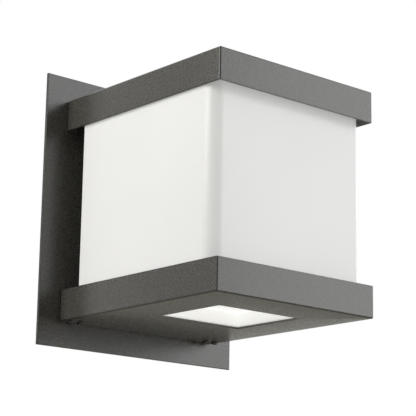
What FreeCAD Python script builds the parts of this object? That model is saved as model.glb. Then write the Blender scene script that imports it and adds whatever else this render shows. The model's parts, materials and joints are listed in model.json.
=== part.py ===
import FreeCAD, Part
import math
import os

# Outdoor wall lantern: a box-shaped lantern head on a flat wall plate.
# An opal U-shaped diffuser stands between a folded sheet cap and a folded sheet tray, and a
# square window in the tray lights the ground. One screw-cap bulb hangs in the middle.
#
# Frame, in millimetres: the origin is the middle of the wall plate's back face, which lies on
# the wall. +X is to the right seen from the front, +Y goes into the wall, +Z is up.

V = FreeCAD.Vector
X, Y, Z = V(1, 0, 0), V(0, 1, 0), V(0, 0, 1)

# ---------------------------------------------------------------- driving dimensions, mm
body_width = 200.0        # cap and tray, side to side
body_depth = 235.0        # from the wall plate's front to the cap's front
body_height = 227.0       # from the tray's underside to the cap's top
rim_height = 32.0         # height of the cap's and the tray's rims
sheet = 2.0               # sheet of the cap, tray, carrier, frame and brackets
thin_sheet = 1.2          # sheet of the white reflector, rear panel and window collar
bend = 1.6                # outside radius of the folded edges
return_width = 12.0       # how far the rims turn inwards at the wall

plate_width = 250.0
plate_height = 277.0
plate_thickness = 3.0
plate_edge = 0.5          # rounding of the wall plate's edges

diffuser_side = 2.6       # the diffuser's sides behind the rims' outer faces
diffuser_step = 11.3      # the diffuser's front behind the rims' front faces
diffuser_wall = 4.0
diffuser_bend = 14.0      # outside radius of the diffuser's two bends
diffuser_cover = 21.5     # how far the diffuser's top reaches up inside the cap
diffuser_lift = 4.0       # the diffuser's lower edge above the tray's underside
carrier_depth = 27.0      # from the wall plate's front to the diffuser's back edges

carrier_width = 152.0
carrier_lip = 14.0        # width of the carrier's two front lips
carrier_bottom = -105.0

window_width = 103.0
window_depth = 89.5
window_margin = 51.5      # from the tray's front to the window
well_depth = 15.0         # from the tray's underside to the window pane's gasket
collar_step = 1.5         # the collar's wall behind the window's edge

fixing_radius = 3.25      # wall fixing holes
fixing_span_x = 90.0
fixing_span_z = 150.0
cable_z = -45.0           # height of the cable entry
cable_radius = 4.5

lamp_y = -135.0           # the bulb hangs on the line x = 0, y = lamp_y
thread_pitch = 3.62       # screw cap of 27 mm
thread_turns = 6
thread_radius = 12.65     # mean radius of the bulb's thread
thread_height = 0.45      # the thread's height either side of the mean radius
bulb_radius = 30.0
wire_radius = 1.2

gap = 0.3                 # between pieces of different moving bodies

# ---------------------------------------------------------------- places worked out from them
half_x = body_width / 2
wall_y = -plate_thickness
front_y = wall_y - body_depth
top_z = body_height / 2
bottom_z = -body_height / 2
roof_z = top_z - sheet
floor_z = bottom_z + sheet
cap_rim_z = top_z - rim_height
tray_rim_z = bottom_z + rim_height

diffuser_x = half_x - diffuser_side
diffuser_front = front_y + diffuser_step
diffuser_back = wall_y - carrier_depth
diffuser_top = cap_rim_z + diffuser_cover
diffuser_bottom = bottom_z + diffuser_lift

carrier_x = carrier_width / 2
frame_z = roof_z - sheet              # underside of the top frame, top of the carrier
reflector_z = 97.0                    # underside of the ceiling reflector
panel_x = diffuser_x - diffuser_wall - gap - 2.8
panel_top = reflector_z - 1.0
panel_bottom = -95.0
panel_fold = 10.0

window_front = front_y + window_margin
window_back = window_front + window_depth
collar_top = bottom_z + well_depth
pane_z = collar_top + 1.0             # underside of the window pane
pane_wall = 3.0

stud_radius = 2.5
stud_x = 55.0
rear_stud_y = -18.0
front_stud_ys = (-60.0, -205.0)

screw_y = -13.5                       # the four tray screws, near the wall
screw_xs = (82.0, 94.0)
tray_screw_radius = 2.0
bracket_y = (-24.0, -6.5)

panel_screw_z = 70.0
rivet_radius = 2.0
rivet_x = 67.0
rivet_zs = (-80.0, 0.0, 90.0)
bracket_height = 27.0
bracket_rivet_zs = (-99.0, -89.5)

block_z = 6.0                         # underside of the terminal block
block_size = V(36.0, 12.0, 18.0)
pole_step = 12.0
earth_x, earth_z = 30.0, 45.0

holder_top = reflector_z - 1.5
holder_bottom = 48.8
holder_roof = 79.0                    # top of the holder's inside
shell_top = 72.0                      # top of both thread profiles
contact_z = 75.0                      # tip of the bulb's contact
dome_z = contact_z - 109.5 + bulb_radius   # centre of the bulb's round end

os.makedirs("parts", exist_ok=True)


# ---------------------------------------------------------------- shape helpers
def box(x0, x1, y0, y1, z0, z1):
    return Part.makeBox(x1 - x0, y1 - y0, z1 - z0, V(x0, y0, z0))


def cylinder(radius, start, end):
    along = end - start
    return Part.makeCylinder(radius, along.Length, start, along)


def cone(radius_a, radius_b, start, end):
    along = end - start
    return Part.makeCone(radius_a, radius_b, along.Length, start, along)


def cut_all(shape, tools):
    """The shape with every tool taken out of it."""
    return shape.cut(tools)


def fuse_all(shapes):
    return shapes[0].fuse(shapes[1:]).removeSplitter()


def both_sides(make):
    """make(1) and make(-1): the same piece on the right and on the left."""
    return [make(1), make(-1)]


def round_edges(shape, radius, wanted):
    """Rounds the straight edges for which wanted(middle, direction) is true."""
    chosen = []
    for edge in shape.Edges:
        start, end = edge.Vertexes[0].Point, edge.Vertexes[-1].Point
        direction = (end - start).normalize()
        if wanted((start + end) * 0.5, direction):
            chosen.append(edge)
    return shape.makeFillet(radius, chosen)


def face_from(points):
    return Part.Face(Part.makePolygon([V(*p) for p in points] + [V(*points[0])]))


def turned(outline, x=0.0, y=lamp_y):
    """A solid turned about the upright line through x, y, from radius and height pairs."""
    face = face_from([(r, 0, z) for r, z in outline])
    solid = face.revolve(V(0, 0, 0), Z, 360)
    solid.translate(V(x, y, 0))
    return solid


def u_outline(x, back, front, radius):
    """Wire segments of a U open towards the wall, from its right back end round to the left."""
    k = radius * math.sqrt(0.5)
    right_mid = V(x - radius + k, front + radius - k, 0)
    left_mid = V(-x + radius - k, front + radius - k, 0)
    return [
        Part.LineSegment(V(x, back, 0), V(x, front + radius, 0)).toShape(),
        Part.Arc(V(x, front + radius, 0), right_mid, V(x - radius, front, 0)).toShape(),
        Part.LineSegment(V(x - radius, front, 0), V(-x + radius, front, 0)).toShape(),
        Part.Arc(V(-x + radius, front, 0), left_mid, V(-x, front + radius, 0)).toShape(),
        Part.LineSegment(V(-x, front + radius, 0), V(-x, back, 0)).toShape(),
    ]


def u_band(outset, thickness, z0, z1):
    """A U-shaped wall beside the diffuser: its outer face stands outset outside the diffuser's
    outer face, and it is as thick as given."""
    inset = outset - thickness
    back = diffuser_back
    outer = u_outline(diffuser_x + outset, back, diffuser_front - outset, diffuser_bend + outset)
    inner = u_outline(diffuser_x + inset, back, diffuser_front - inset, diffuser_bend + inset)
    ends = []
    for side in (1, -1):
        start = V(side * (diffuser_x + outset), back, 0)
        end = V(side * (diffuser_x + inset), back, 0)
        ends.append(Part.LineSegment(start, end).toShape())
    wire = Part.Wire(Part.__sortEdges__(outer + inner + ends))
    band = Part.Face(wire).extrude(V(0, 0, z1 - z0))
    band.translate(V(0, 0, z0))
    return band


def round_wire(points, radius, bends):
    """A round wire along straight runs joined by tangent arcs; bends gives each arc's radius."""
    edges = []
    start = points[0]
    for before, corner, after, bend_radius in zip(points, points[1:], points[2:], bends):
        into = (corner - before).normalize()
        out = (after - corner).normalize()
        turn = into.getAngle(out)
        reach = bend_radius * math.tan(turn / 2)
        arc_start = corner - into * reach
        arc_end = corner + out * reach
        inward = (out - into).normalize()
        arc_middle = corner + inward * (bend_radius / math.cos(turn / 2) - bend_radius)
        edges.append(Part.LineSegment(start, arc_start).toShape())
        edges.append(Part.Arc(arc_start, arc_middle, arc_end).toShape())
        start = arc_end
    edges.append(Part.LineSegment(start, points[-1]).toShape())
    path = Part.Wire(edges)
    circle = Part.makeCircle(radius, points[0], (points[1] - points[0]).normalize())
    wire = path.makePipeShell([Part.Wire(circle)], True, False)
    print("wire %.1f mm long, arcs %s mm" % (path.Length, bends))
    return wire


def pan_screw(point, inward, radius, length, head_radius, head_height):
    """A screw whose head stands on the surface at point and whose shank goes inwards."""
    shank = cylinder(radius, point, point + inward * length)
    head = cylinder(head_radius, point - inward * head_height, point)
    head = head.makeFillet(head_height * 0.5, [head.Edges[0] if outer_end(head.Edges[0], point)
                                               else head.Edges[2]])
    slot_size = head_radius * 0.9
    top = point - inward * head_height
    socket = cylinder(slot_size * 0.5, top, top + inward * head_height * 0.55)
    return shank.fuse(head).cut(socket).removeSplitter()


def outer_end(edge, point):
    """True for a head's far rim: a circle that isn't on the surface the head stands on."""
    if not hasattr(edge.Curve, "Center"):
        return False
    return (edge.Curve.Center - point).Length > 0.1


def hexagon_nut(point, along, height, across, hole):
    """A nut standing on the surface at point, along its hole."""
    corner = across / math.sqrt(3)
    other = X if abs(along.dot(X)) < 0.5 else Z
    side = along.cross(other)
    ring = []
    for step in range(7):
        angle = math.radians(60 * step)
        ring.append(point + (other * math.cos(angle) + side * math.sin(angle)) * corner)
    nut = Part.Face(Part.makePolygon(ring)).extrude(along * height)
    return nut.cut(cylinder(hole, point - along, point + along * (height + 1)))


def thread_edges(top, mean, wave):
    """The wavy outline of a round thread, running down from top: arcs out and in by turns."""
    edges = []
    half = thread_pitch / 2
    for step in range(2 * thread_turns):
        out = wave if step % 2 == 0 else -wave
        z = top - step * half
        middle = V(mean + out, 0, z - half / 2)
        edges.append(Part.Arc(V(mean, 0, z), middle, V(mean, 0, z - half)).toShape())
    return edges


def threaded_sleeve(top, outer, inner, collar=None):
    """A sleeve about the lamp's line; outer and inner are mean radius and wave of each face."""
    bottom = top - thread_turns * thread_pitch
    edges = thread_edges(top, *outer)
    inside = thread_edges(top, *inner) if inner[1] else [
        Part.LineSegment(V(inner[0], 0, top), V(inner[0], 0, bottom)).toShape()]
    edges.append(Part.LineSegment(V(outer[0], 0, bottom), V(inner[0], 0, bottom)).toShape())
    edges.append(Part.LineSegment(V(outer[0], 0, top), V(inner[0], 0, top)).toShape())
    face = Part.Face(Part.Wire(Part.__sortEdges__(edges + inside)))
    sleeve = face.revolve(V(0, 0, 0), Z, 360)
    sleeve.translate(V(0, lamp_y, 0))
    return sleeve.fuse(collar).removeSplitter() if collar else sleeve


def save(name, *solids):
    """Writes one node: a single solid, or a group of identical separate solids."""
    shape = solids[0] if len(solids) == 1 else Part.makeCompound(list(solids))
    for solid in shape.Solids:
        if not solid.isValid() or solid.Volume <= 0:
            print("CHECK", name, "has a bad solid")
    if len(shape.Solids) != len(solids):
        print("CHECK", name, "has", len(shape.Solids), "solids for", len(solids))
    shape.exportStep("parts/%s.step" % name)
    print("%-22s %2d  %9.1f mm3" % (name, len(shape.Solids), shape.Volume))


# ---------------------------------------------------------------- wall plate and carrier
def fixing_points():
    return [V(sx * fixing_span_x / 2, 0, sz * fixing_span_z / 2) for sx in (1, -1) for sz in (1, -1)]


def rivet_points():
    return [V(sx * rivet_x, 0, z) for sx in (1, -1) for z in rivet_zs]


def wall_plate():
    """The flat plate on the wall, with the carrier's countersunk rivet holes."""
    plate = box(-plate_width / 2, plate_width / 2, wall_y, 0, -plate_height / 2, plate_height / 2)
    plate = round_edges(plate, plate_edge, lambda middle, direction: middle.y < wall_y + 0.1)
    holes = [cylinder(fixing_radius, p - Y * 10, p + Y) for p in fixing_points()]
    for p in rivet_points():
        holes.append(cylinder(rivet_radius, p - Y * 10, p))
        holes.append(cone(2 * rivet_radius, rivet_radius, p, p - Y * rivet_radius))
    holes.append(cylinder(14.0, V(0, -10, cable_z), V(0, 1, cable_z)))
    return cut_all(plate, holes)


def carrier():
    """A lipped channel fixed to the wall plate; it carries the whole head."""
    front = diffuser_back
    shape = box(-carrier_x, carrier_x, front, wall_y, carrier_bottom, frame_z)
    shape = round_edges(shape, bend, lambda middle, direction:
                        middle.y < front + 0.1 and abs(direction.z) > 0.9)
    inner = box(-carrier_x + sheet, carrier_x - sheet, front + sheet, wall_y - sheet,
                carrier_bottom + sheet, frame_z - sheet)
    opening_x = carrier_x - carrier_lip
    opening = box(-opening_x, opening_x, front - 1, front + sheet,
                  carrier_bottom + sheet, frame_z - sheet)
    tools = [inner, opening]
    tools += [cylinder(fixing_radius, p - Y * 10, p) for p in fixing_points()]
    tools += [cylinder(rivet_radius, p - Y * 10, p) for p in rivet_points()]
    tools.append(cylinder(10.0, V(0, -10, cable_z), V(0, 0, cable_z)))
    for side in (1, -1):
        tools.append(cylinder(stud_radius, V(side * stud_x, rear_stud_y, frame_z - 5),
                              V(side * stud_x, rear_stud_y, frame_z + 1)))
        for z in (panel_screw_z, -panel_screw_z):
            lip = V(side * (carrier_x - carrier_lip / 2), front, z)
            tools.append(cylinder(rivet_radius - 0.2, lip - Y, lip + Y * 5))
        for z in bracket_rivet_zs:
            middle = V(side * carrier_x, sum(bracket_y) / 2, z)
            tools.append(cylinder(rivet_radius, middle - X * 5, middle + X * 5))
    tools.append(cylinder(2.0, V(earth_x, -10, earth_z), V(earth_x, 0, earth_z)))
    return cut_all(shape, tools)


def carrier_rivets():
    """Countersunk rivets, flush at the wall, with a round formed head inside the carrier."""
    rivets = []
    for p in rivet_points():
        sunk = cone(2 * rivet_radius, rivet_radius, p, p - Y * rivet_radius)
        shank = cylinder(rivet_radius, p, p - Y * (plate_thickness + sheet))
        seat = p - Y * (plate_thickness + sheet)
        head = cone(rivet_radius * 1.8, rivet_radius, seat, seat - Y * 1.4)
        rivets.append(fuse_all([shank, sunk, head]))
    return rivets


def cable_grommet():
    """A stepped rubber grommet round the mains cable's entry."""
    outline = [(cable_radius, 0.8), (13.0, 0.8), (13.0, 3.0), (10.0, 3.0), (10.0, 5.0),
               (13.0, 5.0), (13.0, 7.2), (9.0, 8.2), (6.6, 14.0), (cable_radius, 14.0)]
    face = face_from([(r, -depth, 0) for r, depth in outline])
    grommet = face.revolve(V(0, 0, 0), Y, 360)
    grommet.translate(V(0, 0, cable_z))
    return grommet


# ---------------------------------------------------------------- top frame and cap
def stud_points(rear=True):
    ys = ((rear_stud_y,) if rear else ()) + front_stud_ys
    return [V(side * stud_x, y, 0) for y in ys for side in (1, -1)]


def top_frame():
    """A stiff flat tongue under the cap's roof, held on the carrier's top."""
    front = front_stud_ys[-1] - 15
    shape = box(-stud_x - 12, stud_x + 12, front, wall_y, frame_z, roof_z)
    shape = round_edges(shape, 8.0, lambda middle, direction:
                        middle.y < front + 0.1 and abs(direction.z) > 0.9)
    tools = [cylinder(stud_radius, p + Z * (frame_z - 1), p + Z * (roof_z + 1)) for p in stud_points()]
    return cut_all(shape, tools)


def rim_box(z0, z1, back):
    """A folded box of sheet with a rim all round and rounded folds, before it is hollowed."""
    return box(-half_x, half_x, front_y, back, z0, z1)


def top_cap():
    """The lid: a roof with a rim on every side, open below, its back cut away round the carrier."""
    shape = rim_box(cap_rim_z, top_z, wall_y)
    shape = round_edges(shape, bend, lambda middle, direction:
                        abs(direction.z) > 0.9 or middle.z > top_z - 0.1)
    inner = box(-half_x + sheet, half_x - sheet, front_y + sheet, wall_y - sheet,
                cap_rim_z - 1, roof_z)
    back_x = half_x - return_width
    back_way = box(-back_x, back_x, wall_y - sheet, wall_y + 1, cap_rim_z - 1, roof_z)
    return cut_all(shape, [inner, back_way])


def cap_studs():
    """Studs welded under the roof; the two at the back are short."""
    studs = []
    for p in stud_points():
        end = frame_z - sheet - 6 if p.y == rear_stud_y else reflector_z - 5
        studs.append(cylinder(stud_radius, p + Z * end, p + Z * roof_z))
    return studs


def cap_nuts():
    nuts = []
    for p in stud_points():
        seat = frame_z - sheet if p.y == rear_stud_y else reflector_z
        nuts.append(hexagon_nut(p + Z * seat, -Z, 4.0, 8.0, stud_radius))
    return nuts


def reflector_spacers():
    """Tubes that hold the ceiling reflector below the top frame."""
    spacers = []
    for p in stud_points(rear=False):
        low, high = p + Z * (reflector_z + thin_sheet), p + Z * frame_z
        spacers.append(cylinder(5.0, low, high).cut(cylinder(stud_radius, low, high)))
    return spacers


def ceiling_reflector():
    """The white sheet above the bulb."""
    back, front = diffuser_back - 4, diffuser_front + 8
    shape = box(-panel_x + 1, panel_x - 1, front, back, reflector_z, reflector_z + thin_sheet)
    shape = round_edges(shape, 9.0, lambda middle, direction:
                        middle.y < front + 0.1 and abs(direction.z) > 0.9)
    low, high = V(0, 0, reflector_z - 1), V(0, 0, reflector_z + 3)
    tools = [cylinder(stud_radius, p + low, p + high) for p in stud_points(rear=False)]
    tools.append(cylinder(12.0, V(0, lamp_y, 0) + low, V(0, lamp_y, 0) + high))
    tools += [cylinder(2.0, V(side * 26, lamp_y, 0) + low, V(side * 26, lamp_y, 0) + high)
              for side in (1, -1)]
    return cut_all(shape, tools)


def top_seal():
    """Foam under the roof that the diffuser's top edge comes up against."""
    return u_band(0.3, 6.3, diffuser_top + gap, roof_z)


# ---------------------------------------------------------------- rear panel
def rear_panel():
    """The white panel that closes the back of the lamp space and covers the wiring."""
    back, front = diffuser_back, diffuser_back - thin_sheet
    shape = box(-panel_x, panel_x, back - panel_fold - thin_sheet, back, panel_bottom, panel_top)
    shape = round_edges(shape, 1.0, lambda middle, direction:
                        middle.y > back - 0.1 and abs(direction.z) > 0.9)
    inner = box(-panel_x + thin_sheet, panel_x - thin_sheet, back - panel_fold - 5, front,
                panel_bottom - 1, panel_top + 1)
    tools = [inner]
    for side in (1, -1):
        for z in (panel_screw_z, -panel_screw_z):
            lip = V(side * (carrier_x - carrier_lip / 2), back, z)
            tools.append(cylinder(rivet_radius, lip - Y * 3, lip + Y))
    return cut_all(shape, tools)


def panel_screws():
    screws = []
    for side in (1, -1):
        for z in (panel_screw_z, -panel_screw_z):
            seat = V(side * (carrier_x - carrier_lip / 2), diffuser_back - thin_sheet, z)
            screws.append(pan_screw(seat, Y, rivet_radius - 0.2, 8.0, 3.4, 2.2))
    return screws


def side_seals():
    """Rubber strips on the rear panel's folds, just inside the diffuser's back edges."""
    outer = diffuser_x - diffuser_wall - gap
    back, front = diffuser_back - 1.5, diffuser_back - panel_fold - 0.5

    def strip(side):
        low, high = sorted((side * panel_x, side * outer))
        return box(low, high, front, back, panel_bottom, panel_top)

    return both_sides(strip)


# ---------------------------------------------------------------- tray brackets
def tray_brackets():
    """Angles on the carrier's sides; each takes two of the tray's screws."""
    back, front = bracket_y[1], bracket_y[0]
    foot = floor_z + gap

    def angle(side):
        arm = box(carrier_x, half_x - sheet - 1, front, back, foot, foot + sheet)
        leg = box(carrier_x, carrier_x + sheet, front, back, foot, foot + bracket_height)
        shape = arm.fuse(leg).removeSplitter()
        tools = [cylinder(tray_screw_radius + gap, V(x, screw_y, foot - 1), V(x, screw_y, foot + 5))
                 for x in screw_xs]
        for z in bracket_rivet_zs:
            middle = V(carrier_x, (front + back) / 2, z)
            tools.append(cylinder(rivet_radius, middle - X * 5, middle + X * 5))
        shape = shape.cut(tools)
        return shape if side > 0 else shape.mirror(V(0, 0, 0), X)

    return both_sides(angle)


def bracket_rivets():
    rivets = []
    for side in (1, -1):
        for z in bracket_rivet_zs:
            outside = V(side * (carrier_x + sheet), sum(bracket_y) / 2, z)
            inside = V(side * (carrier_x - sheet), sum(bracket_y) / 2, z)
            shank = cylinder(rivet_radius, inside, outside)
            head = cone(3.6, 2.2, outside, outside + X * side * 1.3)
            tail = cone(3.4, 2.2, inside, inside - X * side * 1.3)
            rivets.append(fuse_all([shank, head, tail]))
    return rivets


def tray_nuts():
    """Press nuts on the brackets' arms for the tray's screws."""
    nuts = []
    seat = floor_z + gap + sheet
    for side in (1, -1):
        for x in screw_xs:
            base = V(side * x, screw_y, seat)
            nut = cylinder(3.2, base, base + Z * 3.5)
            nuts.append(nut.cut(cylinder(tray_screw_radius + gap, base - Z, base + Z * 5)))
    return nuts


# ---------------------------------------------------------------- wiring
def pole_points():
    return [V(step * pole_step, wall_y - sheet - block_size.y / 2, 0) for step in (-1, 0, 1)]


def terminal_block():
    """Three poles; wires go in from above and below, and the screws face the front."""
    back = wall_y - sheet
    front = back - block_size.y
    shape = box(-block_size.x / 2, block_size.x / 2, front + 4, back, block_z, block_z + block_size.z)
    towers = []
    for p in pole_points():
        towers.append(box(p.x - 4.6, p.x + 4.6, front, front + 4, block_z + 1.5,
                          block_z + block_size.z - 1.5))
    shape = fuse_all([shape] + towers)
    tools = []
    for p in pole_points():
        for low in (block_z - 1, block_z + block_size.z - 6):
            tools.append(cylinder(1.8, p + Z * low, p + Z * (low + 7)))
        for z in (block_z + 5, block_z + block_size.z - 5):
            mouth = V(p.x, front, z)
            tools.append(cylinder(1.7, mouth - Y, mouth + Y * 3.2))
    for x in (-pole_step / 2, pole_step / 2):
        middle = V(x, back, block_z + block_size.z / 2)
        tools.append(cylinder(1.2, middle - Y * 20, middle + Y))
    return cut_all(shape, tools)


def terminal_screws():
    """Six clamp screws, slightly below the towers' faces."""
    screws = []
    front = wall_y - sheet - block_size.y
    for p in pole_points():
        for z in (block_z + 5, block_z + block_size.z - 5):
            mouth = V(p.x, front, z)
            screw = cylinder(1.7, mouth + Y * 0.6, mouth + Y * 3.2)
            slot = box(p.x - 2, p.x + 2, front + 0.5, front + 1.2, z - 0.3, z + 0.3)
            screws.append(screw.cut(slot))
    return screws


def block_screws():
    """Two long screws that hold the terminal block."""
    screws = []
    front = wall_y - sheet - block_size.y + 4
    for x in (-pole_step / 2, pole_step / 2):
        head = V(x, front, block_z + block_size.z / 2)
        screws.append(cylinder(1.2, head, head + Y * (block_size.y - 4))
                      .fuse(cylinder(1.4, head - Y * 1.2, head)).removeSplitter())
    return screws


def earth_stud():
    return cylinder(2.0, V(earth_x, wall_y, earth_z), V(earth_x, wall_y - 15, earth_z))


def earth_nuts():
    seat = V(earth_x, wall_y - sheet, earth_z)
    return [hexagon_nut(seat, -Y, 3.0, 7.0, 2.0),
            hexagon_nut(seat - Y * 3.8, -Y, 3.0, 7.0, 2.0)]


def earth_lug():
    """A ring on the earth stud with a barrel that the earth wire goes into."""
    y0 = wall_y - sheet - 3.8
    middle = V(earth_x, pole_points()[0].y, earth_z)
    ring = cylinder(4.5, V(earth_x, y0, earth_z), V(earth_x, y0 + 0.8, earth_z))
    tongue = box(earth_x - 12, earth_x, y0, y0 + 0.8, earth_z - 2, earth_z + 2)
    barrel = cylinder(2.4, middle - X * 13, middle - X * 7)
    mouth = cylinder(wire_radius, middle - X * 14, middle - X * 9)
    stud_hole = cylinder(2.0, V(earth_x, y0 - 1, earth_z), V(earth_x, y0 + 2, earth_z))
    return fuse_all([ring, tongue, barrel]).cut([stud_hole, mouth])


def pole_mouth(pole):
    """Where a wire ends inside a pole's upper hole."""
    return pole_points()[pole] + Z * (block_z + block_size.z - 6)


def lamp_wire(pole, holder_x):
    """From a pole of the terminal block up the carrier, over the reflector and into the holder."""
    start = pole_mouth(pole)
    over = frame_z - 6.5
    points = [start, V(start.x, start.y, over), V(holder_x, lamp_y, over),
              V(holder_x, lamp_y, holder_top - 5)]
    return round_wire(points, wire_radius, [8.0, 6.0])


def wire_earth():
    """From the third pole to the lug on the earth stud."""
    start = pole_mouth(2)
    corner = V(start.x, start.y, earth_z)
    return round_wire([start, corner, corner + X * (earth_x - 9 - start.x)], wire_radius, [5.0])


# ---------------------------------------------------------------- lampholder
def lampholder_bracket():
    """A steel strip between the holder and the reflector."""
    z0 = holder_top
    strip = box(-33, 33, lamp_y - 11, lamp_y + 11, z0, reflector_z)
    strip = round_edges(strip, 6.0, lambda middle, direction: abs(direction.z) > 0.9)
    tools = [cylinder(10.0, V(0, lamp_y, z0 - 1), V(0, lamp_y, z0 + 3))]
    tools += [cylinder(2.0, V(side * 26, lamp_y, z0 - 1), V(side * 26, lamp_y, z0 + 3))
              for side in (1, -1)]
    return strip.cut(tools)


def lampholder_screws():
    screws = []
    for side in (1, -1):
        screws.append(pan_screw(V(side * 26, lamp_y, holder_top), Z, 2.0, 7.0, 3.6, 2.4))
    return screws


def lampholder_body():
    """The ceramic holder: a stepped bell, open below, with two wire holes in its top."""
    outside = [(0, holder_top), (16.0, holder_top), (17.0, holder_top - 1), (17.0, 85.0),
               (20.5, 81.0), (20.5, 78.0), (19.6, 77.2), (19.6, 75.8), (20.5, 75.0),
               (20.5, holder_bottom + 1), (19.5, holder_bottom)]
    inside = [(14.6, holder_bottom), (14.6, holder_roof), (0, holder_roof)]
    body = turned(outside + inside)
    tools = [cylinder(wire_radius, V(side * 6, lamp_y, holder_top - 5), V(side * 6, lamp_y, holder_top + 1))
             for side in (1, -1)]
    return body.cut(tools)


def lampholder_shell():
    """The threaded metal sleeve inside the holder, with a flange at its top."""
    inner_mean = thread_radius + gap
    collar = turned([(inner_mean, shell_top), (inner_mean + 0.5, shell_top), (14.5, shell_top + 0.8),
                     (14.5, shell_top + 1.3), (inner_mean, shell_top + 1.3)])
    return threaded_sleeve(shell_top, (inner_mean + 0.5, thread_height), (inner_mean, thread_height),
                           collar)


def lampholder_contact():
    """A springy tongue that meets the bulb's contact."""
    z0 = contact_z + gap
    tongue = box(-10, 6, lamp_y - 4, lamp_y + 4, z0, z0 + 0.6)
    leg = box(-10, -9.4, lamp_y - 4, lamp_y + 4, z0, holder_roof)
    return tongue.fuse(leg).removeSplitter()


# ---------------------------------------------------------------- bulb
def bulb_screw_cap():
    """The bulb's metal screw cap."""
    low = shell_top - thread_turns * thread_pitch
    neck = turned([(thread_radius - 1.0, shell_top), (thread_radius, shell_top), (9.0, shell_top + 1.6),
                   (8.0, shell_top + 1.2), (thread_radius - 1.0, shell_top - 0.4)])
    skirt = turned([(thread_radius - 1.0, low), (thread_radius, low), (thread_radius, low - 1.6),
                    (thread_radius - 1.0, low - 1.6)])
    sleeve = threaded_sleeve(shell_top, (thread_radius, thread_height), (thread_radius - 1.0, 0))
    return fuse_all([sleeve, neck, skirt])


def bulb_insulator():
    top = contact_z - 1.2
    return turned([(0, shell_top + 0.2), (7.4, shell_top + 1.0), (9.0, shell_top + 1.6),
                   (5.0, top), (0, top)])


def bulb_contact():
    return turned([(0, contact_z - 1.2), (4.8, contact_z - 1.2), (4.2, contact_z - 0.4),
                   (2.6, contact_z), (0, contact_z)])


def bulb_housing():
    """The white plastic cone between the screw cap and the round end, hollow for the driver."""
    low = shell_top - thread_turns * thread_pitch
    outside = [(11.5, low + 8), (11.5, low - 1.6), (14.2, low - 1.6), (15.0, low - 3.0),
               (20.0, low - 16), (26.0, low - 34), (bulb_radius - 0.4, dome_z + 5)]
    inside = [(bulb_radius - 2.2, dome_z + 5), (24.2, low - 34), (18.2, low - 16), (13.0, low - 3.5),
              (10.2, low - 3.5), (10.2, low + 8)]
    return turned(outside + inside)


def bulb_board():
    """The round board that closes the housing and carries the light sources."""
    return turned([(0, dome_z + 5), (27.3, dome_z + 5), (27.3, dome_z + 6.6), (0, dome_z + 6.6)])


def bulb_chips():
    """Twelve small light sources in a ring under the board."""
    chips = []
    top = dome_z + 5
    for step in range(12):
        angle = math.radians(30 * step)
        x, y = 17 * math.cos(angle), lamp_y + 17 * math.sin(angle)
        chips.append(box(x - 1.4, x + 1.4, y - 1.4, y + 1.4, top - 0.7, top))
    return chips


def bulb_envelope():
    """The opal round end, a thin shell."""
    wall = 1.2
    top = dome_z + 5
    outer, inner = bulb_radius, bulb_radius - wall
    outer_rim = math.sqrt(outer ** 2 - 25)
    inner_rim = math.sqrt(inner ** 2 - 25)
    slant = math.sqrt(0.5)
    outer_arc = Part.Arc(V(outer_rim, 0, top), V(outer * slant, 0, dome_z - outer * slant),
                         V(0, 0, dome_z - outer)).toShape()
    inner_arc = Part.Arc(V(inner_rim, 0, top), V(inner * slant, 0, dome_z - inner * slant),
                         V(0, 0, dome_z - inner)).toShape()
    rim = Part.LineSegment(V(outer_rim, 0, top), V(inner_rim, 0, top)).toShape()
    pole = Part.LineSegment(V(0, 0, dome_z - outer), V(0, 0, dome_z - inner)).toShape()
    face = Part.Face(Part.Wire(Part.__sortEdges__([outer_arc, inner_arc, rim, pole])))
    shell = face.revolve(V(0, 0, 0), Z, 360)
    shell.translate(V(0, lamp_y, 0))
    return shell


# ---------------------------------------------------------------- tray and its window
def bottom_tray():
    """The tray: a floor with a square window and a rim, open above, its back cut away."""
    back = wall_y - gap
    shape = rim_box(bottom_z, tray_rim_z, back)
    shape = round_edges(shape, bend, lambda middle, direction:
                        abs(direction.z) > 0.9 or middle.z < bottom_z + 0.1)
    inner = box(-half_x + sheet, half_x - sheet, front_y + sheet, back - sheet, floor_z, tray_rim_z + 1)
    back_x = half_x - return_width
    back_way = box(-back_x, back_x, back - sheet, back + 1, floor_z, tray_rim_z + 1)
    window = box(-window_width / 2, window_width / 2, window_front, window_back,
                 bottom_z - 1, floor_z + 1)
    screws = [cylinder(tray_screw_radius + 0.1, V(side * x, screw_y, bottom_z - 1),
                       V(side * x, screw_y, floor_z + 1)) for side in (1, -1) for x in screw_xs]
    return cut_all(shape, [inner, back_way, window] + screws)


def tray_screws():
    """Four captive screws that hold the tray under the brackets."""
    return [pan_screw(V(side * x, screw_y, bottom_z), Z, tray_screw_radius, 9.5, 3.4, 2.2)
            for side in (1, -1) for x in screw_xs]


def collar_ring(outset, z0, z1):
    """A square ring plate round the window, outset from its edge."""
    return box(-window_width / 2 - outset, window_width / 2 + outset, window_front - outset,
               window_back + outset, z0, z1)


def window_collar():
    """The white well above the window, with a foot on the tray's floor."""
    wall = collar_ring(collar_step + thin_sheet, floor_z, collar_top)
    foot = collar_ring(collar_step + 10, floor_z, floor_z + thin_sheet)
    hollow = collar_ring(collar_step, floor_z - 1, collar_top + 1)
    return wall.fuse(foot).removeSplitter().cut(hollow)


def pane_gasket():
    outer = collar_ring(collar_step + thin_sheet, collar_top, pane_z)
    return outer.cut(collar_ring(collar_step - 1.0, collar_top - 1, pane_z + 1))


def window_pane():
    return collar_ring(collar_step + thin_sheet, pane_z, pane_z + pane_wall)


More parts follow.
